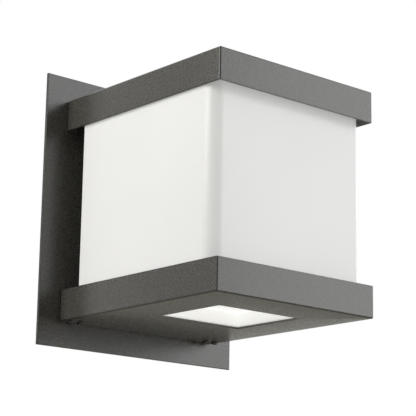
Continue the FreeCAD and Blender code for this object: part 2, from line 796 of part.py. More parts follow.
def pane_clips():
    """Four spring clips over the pane, welded to the collar's sides."""
    x = window_width / 2 + collar_step + thin_sheet
    top = pane_z + pane_wall
    middle = (window_front + window_back) / 2

    def clip(side, y):
        leg = box(x, x + 0.8, y - 6, y + 6, floor_z + 5, top + 0.8)
        hook = box(x - 6, x + 0.8, y - 6, y + 6, top, top + 0.8)
        shape = leg.fuse(hook).removeSplitter()
        return shape if side > 0 else shape.mirror(V(0, 0, 0), X)

    return [clip(side, middle + shift) for side in (1, -1) for shift in (-28, 28)]


# ---------------------------------------------------------------- diffuser
def diffuser_screw_seats():
    """Where the diffuser's screws stand on its front face, and which way they go in."""
    return [(V(x, diffuser_front, floor_z + 8.5), V(0, 1, 0)) for x in (-60, -20, 20, 60)]


def diffuser():
    """The opal sheet, bent to a U round the front and both sides."""
    shape = u_band(0.0, diffuser_wall, diffuser_bottom, diffuser_top)
    holes = [cylinder(tray_screw_radius + 0.1, seat - way, seat + way * 8)
             for seat, way in diffuser_screw_seats()]
    return cut_all(shape, holes)


def diffuser_seal():
    """A rubber channel between the tray's floor and the diffuser's lower edge; its outer lip is
    thin, to fit between the diffuser's sides and the rim."""
    lip, thin_lip = 1.2, 0.4
    base = u_band(thin_lip, diffuser_wall + thin_lip + lip, floor_z, diffuser_bottom)
    outer_lip = u_band(thin_lip, thin_lip, diffuser_bottom, diffuser_bottom + 3)
    inner_lip = u_band(-diffuser_wall, lip, diffuser_bottom, diffuser_bottom + 3)
    return fuse_all([base, outer_lip, inner_lip])


def diffuser_rails():
    """Three angles welded to the tray's floor inside the diffuser."""
    face = diffuser_wall + 1.2            # the rails' upright face behind the diffuser's outer face
    wall, foot, height = 1.5, 10.0, 13.0
    holes = [cylinder(tray_screw_radius, seat, seat + way * 12)
             for seat, way in diffuser_screw_seats()]

    def side_rail(side):
        x = diffuser_x - face
        leg = box(x - wall, x, -212, -55, floor_z, floor_z + height)
        base = box(x - foot, x, -212, -55, floor_z, floor_z + wall)
        shape = leg.fuse(base).removeSplitter()
        return shape if side > 0 else shape.mirror(V(0, 0, 0), X)

    y = diffuser_front + face
    leg = box(-72, 72, y, y + wall, floor_z, floor_z + height)
    base = box(-72, 72, y, y + foot, floor_z, floor_z + wall)
    return both_sides(side_rail) + [leg.fuse(base).removeSplitter().cut(holes)]


def diffuser_screws():
    return [pan_screw(seat, way, tray_screw_radius, 8.5, 3.4, 2.2)
            for seat, way in diffuser_screw_seats()]


# ---------------------------------------------------------------- write every node
save("wall_plate", wall_plate())
save("carrier", carrier())
save("carrier_rivets", *carrier_rivets())
save("cable_grommet", cable_grommet())
save("top_frame", top_frame())
save("top_cap", top_cap())
save("cap_studs", *cap_studs())
save("cap_nuts", *cap_nuts())
save("reflector_spacers", *reflector_spacers())
save("ceiling_reflector", ceiling_reflector())
save("top_seal", top_seal())
save("rear_panel", rear_panel())
save("panel_screws", *panel_screws())
save("side_seals", *side_seals())
save("tray_brackets", *tray_brackets())
save("bracket_rivets", *bracket_rivets())
save("tray_nuts", *tray_nuts())
save("terminal_block", terminal_block())
save("terminal_screws", *terminal_screws())
save("block_screws", *block_screws())
save("earth_stud", earth_stud())
save("earth_nuts", *earth_nuts())
save("earth_lug", earth_lug())
save("wire_live", lamp_wire(0, -6))
save("wire_neutral", lamp_wire(1, 6))
save("wire_earth", wire_earth())
save("lampholder_bracket", lampholder_bracket())
save("lampholder_screws", *lampholder_screws())
save("lampholder_body", lampholder_body())
save("lampholder_shell", lampholder_shell())
save("lampholder_contact", lampholder_contact())
save("bulb_screw_cap", bulb_screw_cap())
save("bulb_insulator", bulb_insulator())
save("bulb_contact", bulb_contact())
save("bulb_housing", bulb_housing())
save("bulb_board", bulb_board())
save("bulb_chips", *bulb_chips())
save("bulb_envelope", bulb_envelope())
save("bottom_tray", bottom_tray())
save("tray_screws", *tray_screws())
save("window_collar", window_collar())
save("pane_gasket", pane_gasket())
save("window_pane", window_pane())
save("pane_clips", *pane_clips())
save("diffuser", diffuser())
save("diffuser_seal", diffuser_seal())
save("diffuser_rails", *diffuser_rails())
save("diffuser_screws", *diffuser_screws())
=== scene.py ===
import json
import bpy
import bmesh
import numpy as np
from mathutils import Matrix, Vector


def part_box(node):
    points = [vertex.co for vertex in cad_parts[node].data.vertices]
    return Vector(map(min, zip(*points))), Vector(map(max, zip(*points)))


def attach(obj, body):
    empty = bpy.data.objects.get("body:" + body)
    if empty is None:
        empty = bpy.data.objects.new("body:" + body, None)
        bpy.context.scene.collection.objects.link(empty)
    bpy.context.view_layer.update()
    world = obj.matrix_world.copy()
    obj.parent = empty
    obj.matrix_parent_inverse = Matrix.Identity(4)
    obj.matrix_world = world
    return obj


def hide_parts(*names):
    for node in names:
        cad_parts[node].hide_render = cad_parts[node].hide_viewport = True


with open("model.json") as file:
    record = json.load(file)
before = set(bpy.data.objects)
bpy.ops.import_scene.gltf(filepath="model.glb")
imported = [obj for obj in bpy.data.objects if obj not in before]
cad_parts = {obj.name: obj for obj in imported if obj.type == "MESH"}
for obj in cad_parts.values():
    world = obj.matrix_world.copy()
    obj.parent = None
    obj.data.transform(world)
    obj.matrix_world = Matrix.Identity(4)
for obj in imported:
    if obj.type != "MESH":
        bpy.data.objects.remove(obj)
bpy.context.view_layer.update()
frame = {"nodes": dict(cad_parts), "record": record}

nodes = frame["nodes"]
mm = 0.001
halfPi = np.pi / 2
print("frame loaded:", len(nodes), "nodes")


# ---- shape helpers: every shape is (points, faces), and faces are lists of point numbers

# quads of a grid of rows by cols points, joined round in either direction
def gridQuads(rows, cols, wrapRows=False, wrapCols=True):
    r = np.arange(rows if wrapRows else rows - 1)[:, None]
    c = np.arange(cols if wrapCols else cols - 1)[None, :]
    rNext, cNext = (r + 1) % rows, (c + 1) % cols
    quads = np.stack([r * cols + c, r * cols + cNext, rNext * cols + cNext, rNext * cols + c], -1)
    return quads.reshape(-1, 4).tolist()


def joined(shapes):
    points, faces, count = [], [], 0
    for shapePoints, shapeFaces in shapes:
        points.append(np.asarray(shapePoints, float).reshape(-1, 3))
        faces += [[i + count for i in face] for face in shapeFaces]
        count += len(points[-1])
    return np.concatenate(points), faces


# each corner of an outline becomes a quadratic curve between a point before it and one after it
def eased(outline, radius, steps=3):
    p = np.asarray(outline, float)
    toBack, toNext = np.roll(p, 1, 0) - p, np.roll(p, -1, 0) - p
    back = np.linalg.norm(toBack, axis=1, keepdims=True) + 1e-12
    after = np.linalg.norm(toNext, axis=1, keepdims=True) + 1e-12
    reach = np.broadcast_to(np.asarray(radius, float).reshape(-1, 1), back.shape)
    reach = np.minimum(reach, 0.48 * np.minimum(back, after))
    start, end = p + toBack / back * reach, p + toNext / after * reach
    t = np.linspace(0, 1, steps + 1)[None, :, None]
    curve = (1 - t) ** 2 * start[:, None] + 2 * t * (1 - t) * p[:, None] + t ** 2 * end[:, None]
    return curve.reshape(-1, p.shape[1])


# two directions square to an axis
def crossAxes(axis):
    axis = np.asarray(axis, float)
    helper = np.array([0, 0, 1.0]) if abs(axis[2]) < 0.9 else np.array([1.0, 0, 0])
    u = np.cross(helper, axis)
    u /= np.linalg.norm(u)
    return u, np.cross(axis, u)


# a lathe shape: point = origin + axis * height + radius * (cos, sin); radius may change with angle
def turned(profile, origin, axis=(0, 0, 1), segments=48, hollow=False, shapeRadius=None):
    profile = np.asarray(profile, float)
    angle = np.linspace(0, 2 * np.pi, segments, endpoint=False)
    u, v = crossAxes(axis)
    radius = np.repeat(profile[:, :1], segments, 1)
    if shapeRadius is not None:
        radius = shapeRadius(radius, profile[:, 1:2], angle[None, :])
    points = (np.asarray(origin, float) + profile[:, 1, None, None] * np.asarray(axis, float)
              + radius[..., None] * (np.cos(angle)[None, :, None] * u + np.sin(angle)[None, :, None] * v))
    return points.reshape(-1, 3), gridQuads(len(profile), segments, wrapRows=hollow)


# a closed outline in the plane of two directions, pushed along a third, its ends slightly eased
def pushed(outline, origin, across, up, start, end, ease=0.07 * mm):
    outline = np.asarray(outline, float)
    across, up = np.asarray(across, float), np.asarray(up, float)
    along = np.cross(across, up)
    following = np.roll(outline, -1, 0)
    tangent = following - np.roll(outline, 1, 0)
    tangent /= np.linalg.norm(tangent, axis=1, keepdims=True) + 1e-12
    area = 0.5 * np.sum(outline[:, 0] * following[:, 1] - outline[:, 1] * following[:, 0])
    inward = np.stack([-tangent[:, 1], tangent[:, 0]], -1) * np.sign(area)
    rows = [(start, ease), (start + ease, 0), (end - ease, 0), (end, ease)]
    points = [np.asarray(origin, float) + place * along + (outline + inward * inset) @ np.stack([across, up])
              for place, inset in rows]
    count = len(outline)
    faces = gridQuads(4, count) + [list(range(count))[::-1], list(range(3 * count, 4 * count))]
    return np.concatenate(points), faces


# the closed outline of bent sheet: a line of corners thickened to its left by the sheet
def sheetOutline(corners, sheet, insideBend, cut, steps=4):
    p = np.asarray(corners, float)
    leg = np.diff(p, axis=0)
    leg /= np.linalg.norm(leg, axis=1, keepdims=True)
    normal = np.stack([-leg[:, 1], leg[:, 0]], -1)
    before, after = np.vstack([normal[:1], normal]), np.vstack([normal, normal[-1:]])
    mitre = (before + after) / (1 + np.sum(before * after, axis=1, keepdims=True))
    other = p + mitre * sheet
    turn = np.concatenate([[0], np.sign(np.cross(leg[:-1], leg[1:])), [0]])
    turn *= np.sign(sheet)
    inside, outside = insideBend, insideBend + abs(sheet)
    radii = np.concatenate([np.where(turn == 0, cut, np.where(turn > 0, outside, inside)),
                            np.where(turn == 0, cut, np.where(turn > 0, inside, outside))[::-1]])
    return eased(np.concatenate([p, other[::-1]]), radii, steps)


# points and outward directions along a U open towards the wall: side, bend, front, bend, side
def uPath(x, back, front, radius, steps=14):
    right = np.linspace(0, -halfPi, steps)
    left = np.linspace(-halfPi, -np.pi, steps)
    sideYs = np.linspace(back, front + radius, 4)[:-1]
    frontXs = np.linspace(x - radius, -x + radius, 4)[1:-1]
    points = np.concatenate([
        np.stack([np.full(3, x), sideYs], -1),
        np.stack([x - radius + radius * np.cos(right), front + radius + radius * np.sin(right)], -1),
        np.stack([frontXs, np.full(2, front)], -1),
        np.stack([-x + radius + radius * np.cos(left), front + radius + radius * np.sin(left)], -1),
        np.stack([np.full(3, -x), sideYs[::-1]], -1)])
    outward = np.concatenate([
        np.tile([1.0, 0], (3, 1)), np.stack([np.cos(right), np.sin(right)], -1),
        np.tile([0, -1.0], (2, 1)), np.stack([np.cos(left), np.sin(left)], -1), np.tile([-1.0, 0], (3, 1))])
    return points, outward


# a closed profile of (outset, height) carried along the U, with a face at each end
def uBand(profile, x, back, front, radius):
    profile = np.asarray(profile, float)
    path, outward = uPath(x, back, front, radius)
    plan = path[:, None, :] + profile[None, :, :1] * outward[:, None, :]
    height = np.broadcast_to(profile[None, :, 1:], (len(path), len(profile), 1))
    count = len(profile)
    last = (len(path) - 1) * count
    faces = gridQuads(len(path), count) + [list(range(count))[::-1], list(range(last, last + count))]
    return np.concatenate([plan, height], -1).reshape(-1, 3), faces


# a rounded rectangle from the right end of its rear side round to the left: arcs at four corners
def roundedRing(x0, x1, y0, y1, radius, z, rearXs, steps=7):
    t = np.linspace(0, halfPi, steps)
    rear = np.stack([np.asarray(rearXs, float), np.full(len(rearXs), y1)], -1)
    corners = [(x0 + radius, y1 - radius, 1), (x0 + radius, y0 + radius, 2),
               (x1 - radius, y0 + radius, 3), (x1 - radius, y1 - radius, 0)]
    arcs = [np.stack([cx + radius * np.cos(t + k * halfPi), cy + radius * np.sin(t + k * halfPi)], -1)
            for cx, cy, k in corners]
    plan = np.concatenate([rear] + arcs)
    return np.concatenate([plan, np.full((len(plan), 1), z)], -1)


# a wavy screw thread: the radius swings with height / pitch - angle / turn
def threadShape(depth, pitch, fade):
    def shape(radius, height, angle):
        low, high = height.min(), height.max()
        ends = np.clip(np.minimum(height - low, high - height) / fade, 0, 1)
        wave = 0.5 + 0.5 * np.cos(2 * np.pi * (height / pitch) - angle)
        return radius - depth * (1 - wave * ends)
    return shape


def threadedRod(origin, axis, radius, length, pitch, segments=20, perTurn=8):
    rows = max(int(length / pitch * perTurn), 4)
    height = np.linspace(0, length, rows)
    rod = turned(np.stack([np.full(rows, radius), height], -1), origin, axis, segments,
                 shapeRadius=threadShape(pitch * 0.5, pitch, pitch))
    ends = [list(range(segments))[::-1], list(range((rows - 1) * segments, rows * segments))]
    return rod[0], rod[1] + ends


# a screw: a rounded head with a six-sided socket, standing on its seat, and a threaded shank
def socketScrew(seat, inward, radius, length, headRadius, headHeight, pitch):
    seat, inward = np.asarray(seat, float), np.asarray(inward, float)
    socket = headRadius * 0.42
    rows = np.array([[headRadius * 0.93, 0, 0], [headRadius, -0.12 * headHeight, 0],
                     [headRadius, -0.45 * headHeight, 0], [headRadius * 0.93, -0.75 * headHeight, 0],
                     [headRadius * 0.78, -0.95 * headHeight, 0], [headRadius * 0.62, -headHeight, 0],
                     [socket * 1.12, -headHeight, 1], [socket, -headHeight * 0.94, 1],
                     [socket, -headHeight * 0.4, 1], [socket * 0.5, -headHeight * 0.3, 1]])

    def shape(radiusGrid, height, angle):
        sector = np.mod(angle + np.pi / 6, np.pi / 3) - np.pi / 6
        hexagon = np.cos(np.pi / 6) / np.cos(sector) * 1.08
        return radiusGrid * np.where(rows[:, 2:3] > 0, hexagon, 1.0)

    segments = 36
    head = turned(rows[:, :2], seat, inward, segments, shapeRadius=shape)
    last = (len(rows) - 1) * segments
    ends = [list(range(segments))[::-1], list(range(last, last + segments))]
    return joined([(head[0], head[1] + ends), threadedRod(seat, inward, radius, length, pitch)])


# a hexagon nut: flats at apothem / cos(angle), cut back to a cone near both faces, round a bore
def hexNut(origin, axis, height, across, bore):
    apothem = across / 2
    h = np.array([0, 0.06, 0.14, 0.86, 0.94, 1.0]) * height
    rows = np.concatenate([[[bore, height * 0.06], [bore * 1.12, 0]], np.stack([np.full(6, across), h], -1),
                           [[bore * 1.12, height], [bore, height * 0.94]]])

    def shape(radius, heights, angle):
        sector = np.mod(angle + np.pi / 6, np.pi / 3) - np.pi / 6
        flat = apothem / np.cos(sector)
        cone = apothem * 0.97 + 1.73 * np.minimum(heights, height - heights)
        return np.where(radius > bore * 1.5, np.minimum(flat, cone), radius)

    return turned(rows, origin, axis, 48, hollow=True, shapeRadius=shape)


# a flat plate with rounded corners and eased edges: rounded rings from its lower to its upper face
def plateShape(x0, x1, y0, y1, z0, z1, corner, edge):
    rows = [(edge, z0), (0.3 * edge, z0 + 0.3 * edge), (0, z0 + edge), (0, z1 - edge),
            (0.3 * edge, z1 - 0.3 * edge), (edge, z1)]
    middle = (x0 + x1) / 2
    rings = [roundedRing(x0 + d, x1 - d, y0 + d, y1 - d, max(corner - d, 0.3 * edge), z, [middle])
             for d, z in rows]
    count = len(rings[0])
    faces = gridQuads(len(rows), count)
    faces += [list(range(count))[::-1], list(range(count * (len(rows) - 1), count * len(rows)))]
    return np.concatenate(rings), faces


# makes the mesh, points its faces outwards, shades it smooth up to a sharp angle and puts it on its body
def makePiece(name, shapes, material, body, standsFor=None, sharp=32.0, marks=None):
    points, faces = joined(shapes) if isinstance(shapes, list) else shapes
    mesh = bpy.data.meshes.new(name)
    mesh.from_pydata(np.asarray(points).tolist(), [], faces)
    # marks are kept as a point attribute: the painted shade that the finish mixes in at bends and edges
    if marks is not None:
        mesh.attributes.new("paintedFoldShade", "FLOAT", "POINT").data.foreach_set("value", np.asarray(marks, np.float32))
    work = bmesh.new()
    work.from_mesh(mesh)
    bmesh.ops.remove_doubles(work, verts=work.verts, dist=1e-7)
    bmesh.ops.recalc_face_normals(work, faces=work.faces)
    work.to_mesh(mesh)
    work.free()
    mesh.polygons.foreach_set("use_smooth", np.ones(len(mesh.polygons), bool))
    mesh.set_sharp_from_angle(angle=np.radians(sharp))
    mesh.materials.append(material)
    piece = bpy.data.objects.new(name, mesh)
    bpy.context.scene.collection.objects.link(piece)
    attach(piece, body)
    if standsFor:
        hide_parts(standsFor)
    return piece


# the box of every separate solid of a CAD node: points that touch through a face share one number
def solidBoxes(name):
    mesh = nodes[name].data
    points = np.empty(len(mesh.vertices) * 3)
    mesh.vertices.foreach_get("co", points)
    points = points.reshape(-1, 3)
    corners = np.empty(len(mesh.loops), int)
    mesh.loops.foreach_get("vertex_index", corners)
    same = np.unique(np.round(points, 6), axis=0, return_inverse=True)[1].reshape(-1)
    triangles = same[corners].reshape(-1, 3)
    label = np.arange(same.max() + 1)
    while True:
        least = label.copy()
        np.minimum.at(least, triangles.reshape(-1), np.repeat(label[triangles].min(1), 3))
        least = least[least]
        if np.array_equal(least, label):
            break
        label = least
    owner = label[same]
    return [(points[owner == k].min(0), points[owner == k].max(0)) for k in np.unique(owner)]


# ---- material helpers

class NodeSheet:
    def __init__(self, name, **values):
        self.material = bpy.data.materials.new(name)
        self.material.use_nodes = True
        self.tree = self.material.node_tree
        self.shader = self.tree.nodes["Principled BSDF"]
        self.place = None
        for key, value in values.items():
            self.shader.inputs[key.replace("_", " ")].default_value = value

    def add(self, kind, **settings):
        node = self.tree.nodes.new(kind)
        for key, value in settings.items():
            setattr(node, key, value)
        return node

    def link(self, source, target):
        self.tree.links.new(source, target)

    # object coordinates, optionally stretched
    def coordinates(self, stretch=None):
        if self.place is None:
            self.place = self.add("ShaderNodeTexCoord").outputs["Object"]
        if stretch is None:
            return self.place
        mapping = self.add("ShaderNodeMapping")
        mapping.inputs["Scale"].default_value = stretch
        self.link(self.place, mapping.inputs["Vector"])
        return mapping.outputs["Vector"]

    def noise(self, scale, detail=2.0, rough=0.5, stretch=None):
        node = self.add("ShaderNodeTexNoise")
        node.inputs["Scale"].default_value = scale
        node.inputs["Detail"].default_value = detail
        node.inputs["Roughness"].default_value = rough
        self.link(self.coordinates(stretch), node.inputs["Vector"])
        return node.outputs["Fac"]

    def cells(self, scale):
        node = self.add("ShaderNodeTexVoronoi")
        node.inputs["Scale"].default_value = scale
        self.link(self.coordinates(), node.inputs["Vector"])
        return node.outputs["Distance"], node.outputs["Color"]

    def mark(self, name):
        return self.add("ShaderNodeAttribute", attribute_name=name).outputs["Fac"]

    # value from low..high mapped to a..b
    def span(self, value, low, high, a, b):
        node = self.add("ShaderNodeMapRange")
        self.link(value, node.inputs["Value"])
        for key, number in (("From Min", low), ("From Max", high), ("To Min", a), ("To Max", b)):
            node.inputs[key].default_value = number
        return node.outputs["Result"]

    # noise mapped to a..b: nearly all of it lies between 0.3 and 0.7
    def spread(self, noise, a, b):
        return self.span(noise, 0.3, 0.7, a, b)

    def maths(self, operation, a, b):
        node = self.add("ShaderNodeMath", operation=operation)
        for socket, value in zip(node.inputs, (a, b)):
            if isinstance(value, (int, float)):
                socket.default_value = value
            else:
                self.link(value, socket)
        return node.outputs[0]

    # colour a where factor is 0 and b where it is 1
    def mix(self, factor, a, b, blend="MIX"):
        node = self.add("ShaderNodeMix", data_type="RGBA", blend_type=blend)
        for socket, value in ((node.inputs[0], factor), (node.inputs[6], a), (node.inputs[7], b)):
            if isinstance(value, (int, float)):
                socket.default_value = value
            elif isinstance(value, tuple):
                socket.default_value = (*value, 1.0)
            else:
                self.link(value, socket)
        return node.outputs[2]

    def colour(self, value):
        self.link(value, self.shader.inputs["Base Color"])

    def roughness(self, value):
        self.link(value, self.shader.inputs["Roughness"])

    def bump(self, height, strength, distance):
        node = self.add("ShaderNodeBump")
        node.inputs["Strength"].default_value = strength
        node.inputs["Distance"].default_value = distance
        self.link(height, node.inputs["Height"])
        previous = self.shader.inputs["Normal"].links
        if previous:
            self.link(previous[0].from_socket, node.inputs["Normal"])
        self.link(node.outputs["Normal"], self.shader.inputs["Normal"])


# ---- finishes

powderLook = {
    "dark": (0.047, 0.0455, 0.039), "light": (0.091, 0.0885, 0.078), "fleck": (0.17, 0.17, 0.165),
    "grain": 620.0, "fine": 1700.0, "cloud": 60.0, "roughness": 0.27, "shine": 0.95,
    # bendShade and the fold colour give the strength and colour of the painted shade at folds, cut edges and
    # a plate's outline
    "bendShade": 0.85, "bendShadeColour": (0.016, 0.015, 0.013), "edge": 0.9 * mm,
    "fineBump": (0.2, 0.2 * mm), "grainBump": (0.25, 0.5 * mm), "cloudBump": (0.05, 1.0 * mm),
    "noiseRange": (0.32, 0.68), "fleckShare": (0.88, 0.92), "smoother": 0.08, "rougher": 0.12,
}


# fine-textured powder coat: two sizes of grain and a slow cloud mix two greys, some cells are bright
# flecks, and folds and cut edges get painted shade, a dark line for the shade in them; a flat plate gives its
# half width and height, and the same painted shade runs along its outline; the shade tone darkens both greys
# as painted shade
def powderCoat(name="anthracitePowder", half=None, paintedShadeTone=1.0):
    look = powderLook
    # painted shade: the tone scales both greys darker
    dark, light = (tuple(paintedShadeTone * c for c in look[key]) for key in ("dark", "light"))
    sheet = NodeSheet(name, Roughness=look["roughness"], IOR=1.5, Specular_IOR_Level=look["shine"])
    grain = sheet.noise(look["grain"], 2.0, 0.6)
    fine = sheet.noise(look["fine"], 2.0, 0.6)
    cloud = sheet.noise(look["cloud"], 3.0)
    blend = sheet.maths("ADD", sheet.span(grain, *look["noiseRange"], 0.0, 0.55),
                        sheet.span(fine, *look["noiseRange"], 0.0, 0.3))
    blend = sheet.maths("ADD", blend, sheet.spread(cloud, 0.0, 0.15))
    coat = sheet.mix(blend, dark, light)
    distance, cell = sheet.cells(look["grain"])
    pick = sheet.add("ShaderNodeSeparateColor")
    sheet.link(cell, pick.inputs[0])
    fleck = sheet.maths("MULTIPLY", sheet.span(pick.outputs[0], *look["fleckShare"], 0, 0.7),
                        sheet.span(distance, 0.25, 0.5, 1, 0))
    coat = sheet.mix(fleck, coat, look["fleck"])
    if half is None:
        edge = sheet.mark("paintedFoldShade")
    else:
        split = sheet.add("ShaderNodeSeparateXYZ")
        sheet.link(sheet.coordinates(), split.inputs[0])
        sides = [sheet.maths("SUBTRACT", sheet.maths("ABSOLUTE", split.outputs[axis], 0.0), size)
                 for axis, size in ((0, half[0]), (2, half[1]))]
        edge = sheet.span(sheet.maths("MAXIMUM", *sides), -look["edge"], -0.4 * look["edge"], 0, 1)
    # painted shade: folds, cut edges and a plate's outline mixed towards a near-black
    coat = sheet.mix(sheet.span(edge, 0.0, 1.0, 0.0, look["bendShade"]), coat, look["bendShadeColour"])
    sheet.colour(coat)
    rough = look["roughness"]
    sheet.roughness(sheet.span(grain, 0.25, 0.75, rough - look["smoother"], rough + look["rougher"]))
    sheet.bump(fine, *look["fineBump"])
    sheet.bump(grain, *look["grainBump"])
    sheet.bump(cloud, *look["cloudBump"])
    return sheet.material


# painted glow: the opal sheets, window collar and gasket glow with emission of this colour, standing in for
# daylight through the opal
paintedGlowColour = (0.99, 0.995, 1.0, 1.0)      # colour of the daylight that comes through opal sheet


whiteLook = {"clean": (0.86, 0.86, 0.845), "dusty": (0.80, 0.80, 0.78), "roughness": (0.36, 0.5),
             "peelBump": (0.12, 0.4 * mm)}


# satin white coat with a faint orange peel; through is a painted glow, emission standing in for the daylight
# that comes to it through the opal
def whiteCoat(name="whiteCoat", through=0.0):
    look = whiteLook
    sheet = NodeSheet(name, Roughness=0.42, IOR=1.5, Emission_Color=paintedGlowColour, Emission_Strength=through)
    peel = sheet.noise(420.0, 2.0)
    dust = sheet.noise(30.0, 4.0)
    sheet.colour(sheet.mix(sheet.span(dust, 0.35, 0.75, 0, 1), look["clean"], look["dusty"]))
    sheet.roughness(sheet.spread(peel, *look["roughness"]))
    sheet.bump(peel, *look["peelBump"])
    return sheet.material


opalLook = {"base": (0.90, 0.902, 0.885), "deep": (0.865, 0.867, 0.85), "bent": (0.865, 0.868, 0.852),
            "roughness": 0.3, "scatter": 0.25, "scatterReach": (0.01, 0.01, 0.009), "through": 0.34,
            "shade": 0.69, "bentThrough": 0.8, "satinBump": (0.03, 0.1 * mm)}


# satin opal acrylic: white, slightly scattering, with a very faint cloudiness; bends are painted darker as
# painted shade;
# through is a painted glow, emission standing in for the daylight that comes through the sheet from behind
# it, a little less where it is bent, and shade darkens the white by as much as that glow adds
def opalAcrylic(name="opalAcrylic", rough=opalLook["roughness"], through=opalLook["through"],
                shade=opalLook["shade"]):
    look = opalLook
    sheet = NodeSheet(name, Roughness=rough, IOR=1.49, Subsurface_Weight=look["scatter"],
                      Subsurface_Radius=look["scatterReach"], Subsurface_Scale=0.5,
                      Emission_Color=paintedGlowColour)
    cloud = sheet.noise(14.0, 3.0)
    base, deep, bentShade = (tuple(shade * c for c in look[key]) for key in ("base", "deep", "bent"))
    opal = sheet.mix(sheet.spread(cloud, 0, 1), base, deep)
    # painted shade: the bends are mixed towards a darker white
    bent = sheet.mark("paintedFoldShade")
    sheet.colour(sheet.mix(bent, opal, bentShade))
    # painted glow: emission over the whole sheet, weaker at the bends as painted shade
    glow = sheet.span(bent, 0, 1, through, look["bentThrough"] * through)
    sheet.link(glow, sheet.shader.inputs["Emission Strength"])
    satin = sheet.noise(2600.0, 2.0)
    sheet.roughness(sheet.spread(satin, rough - 0.04, rough + 0.05))
    sheet.bump(satin, *look["satinBump"])
    return sheet.material


# black rubber or foam: two near-blacks in fine grain
def rubber(name, base, scale, bumpDepth):
    sheet = NodeSheet(name, Roughness=0.75)
    grain = sheet.noise(scale, 3.0, 0.6)
    sheet.colour(sheet.mix(sheet.spread(grain, 0, 1), base, tuple(2.2 * c for c in base)))
    sheet.roughness(sheet.spread(grain, 0.65, 0.85))
    sheet.bump(grain, 0.4, bumpDepth)
    return sheet.material


# bare metal: a stretched grain, with patches a little duller
def metal(name, base, roughness, stretch=(1, 1, 1), grainScale=900.0, dull=0.8):
    sheet = NodeSheet(name, Metallic=1.0, Roughness=roughness)
    grain = sheet.noise(grainScale, 3.0, 0.6, stretch)
    patch = sheet.noise(60.0, 4.0)
    shade = sheet.maths("ADD", sheet.spread(grain, 0, 0.5), sheet.span(patch, 0.35, 0.7, 0, 0.5))
    sheet.colour(sheet.mix(shade, base, tuple(dull * c for c in base)))
    sheet.roughness(sheet.spread(grain, roughness - 0.06, roughness + 0.1))
    sheet.bump(grain, 0.08, 0.0001)
    return sheet.material


# moulded plastic, ceramic or paint: a base with a faint grain and cloud
def moulded(name, base, roughness, scale=500.0, spread=0.9, bumpDepth=0.0002, strength=0.08):
    sheet = NodeSheet(name, Roughness=roughness)
    grain = sheet.noise(scale, 3.0)
    cloud = sheet.noise(45.0, 3.0)
    shade = sheet.maths("ADD", sheet.spread(grain, 0, 0.4), sheet.spread(cloud, 0, 0.6))
    sheet.colour(sheet.mix(shade, base, tuple(spread * c for c in base)))
    sheet.roughness(sheet.spread(grain, roughness - 0.04, roughness + 0.06))
    sheet.bump(grain, strength, bumpDepth)
    return sheet.material


finish = {
    "anthracite_coat": powderCoat(),
    "white_coat": whiteCoat(),
    "opal_sheet": opalAcrylic(),
    # the bulb's dome has a faint painted glow
    "bulb_opal": opalAcrylic("bulbOpal", 0.35, 0.04, 1.0),
    "bulb_white": moulded("bulbPlastic", (0.86, 0.86, 0.85), 0.32),
    "seal_rubber": rubber("sealRubber", (0.012, 0.012, 0.012), 1100.0, 0.0002),
    "white_silicone": moulded("whiteSilicone", (0.84, 0.84, 0.825), 0.45, 800.0, 0.95),
    "black_zinc": metal("blackZinc", (0.10, 0.10, 0.105), 0.28, grainScale=700.0),
    "seal_foam": rubber("sealFoam", (0.02, 0.02, 0.02), 700.0, 0.0006),
    "zinc_steel": metal("zincSteel", (0.62, 0.63, 0.64), 0.34, grainScale=350.0),
    "stainless": metal("stainlessSteel", (0.66, 0.65, 0.63), 0.22, grainScale=1600.0),
    "aluminium": metal("millAluminium", (0.80, 0.80, 0.81), 0.32, (1, 0.06, 1)),
    "brass": metal("brass", (0.80, 0.62, 0.30), 0.26),
    "nickel_shell": metal("nickelShell", (0.75, 0.74, 0.71), 0.2),
    "white_ceramic": moulded("ceramic", (0.84, 0.82, 0.77), 0.5, 900.0, 0.93, 0.0003, 0.2),
    "block_plastic": moulded("blockPlastic", (0.82, 0.81, 0.75), 0.45),
    "black_glass": moulded("blackGlass", (0.012, 0.012, 0.014), 0.12, 300.0, 1.6),
    "phosphor": moulded("phosphor", (0.88, 0.72, 0.16), 0.35, 1500.0, 0.88),
    "brown_insulation": moulded("brownInsulation", (0.09, 0.04, 0.018), 0.4),
    "blue_insulation": moulded("blueInsulation", (0.02, 0.09, 0.32), 0.4),
    "green_insulation": moulded("greenInsulation", (0.08, 0.30, 0.04), 0.4),
}
for entry in frame["record"]["subparts"]:
    nodeMaterials = nodes[entry["node"]].data.materials
    nodeMaterials.clear()
    nodeMaterials.append(finish[entry["material_slot"]])
slotOf = {entry["node"]: entry["material_slot"] for entry in frame["record"]["subparts"]}
bodyOf = {node: body for body, members in frame["record"]["behaviour"]["bodies"].items() for node in members}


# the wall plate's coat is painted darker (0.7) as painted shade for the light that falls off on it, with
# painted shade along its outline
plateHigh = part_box("wall_plate")[1]
nodes["wall_plate"].data.materials.clear()
nodes["wall_plate"].data.materials.append(powderCoat("platePowder", (plateHigh.x, plateHigh.z), 0.7))


# a new piece that stands for one CAD node, with that node's body, slot and finish
def standIn(name, node, shapes, sharp=32.0, marks=None, material=None):
    slot = slotOf[node]
    return makePiece(name, shapes, material or finish[slot], bodyOf[node], node, sharp, marks)


print("finishes made:", len(finish))


# ---- cap and tray: folded sheet

rimLook = {"sheet": 2.0 * mm, "bend": 1.6 * mm, "insideBend": 0.5 * mm, "cutEdge": 0.3 * mm,
           "returnWidth": 12.0 * mm, "bendSteps": 6, "cornerSteps": 7, "flat": 1.1 * mm,
           "holeEdge": 0.25 * mm, "holeCorner": 0.6 * mm}


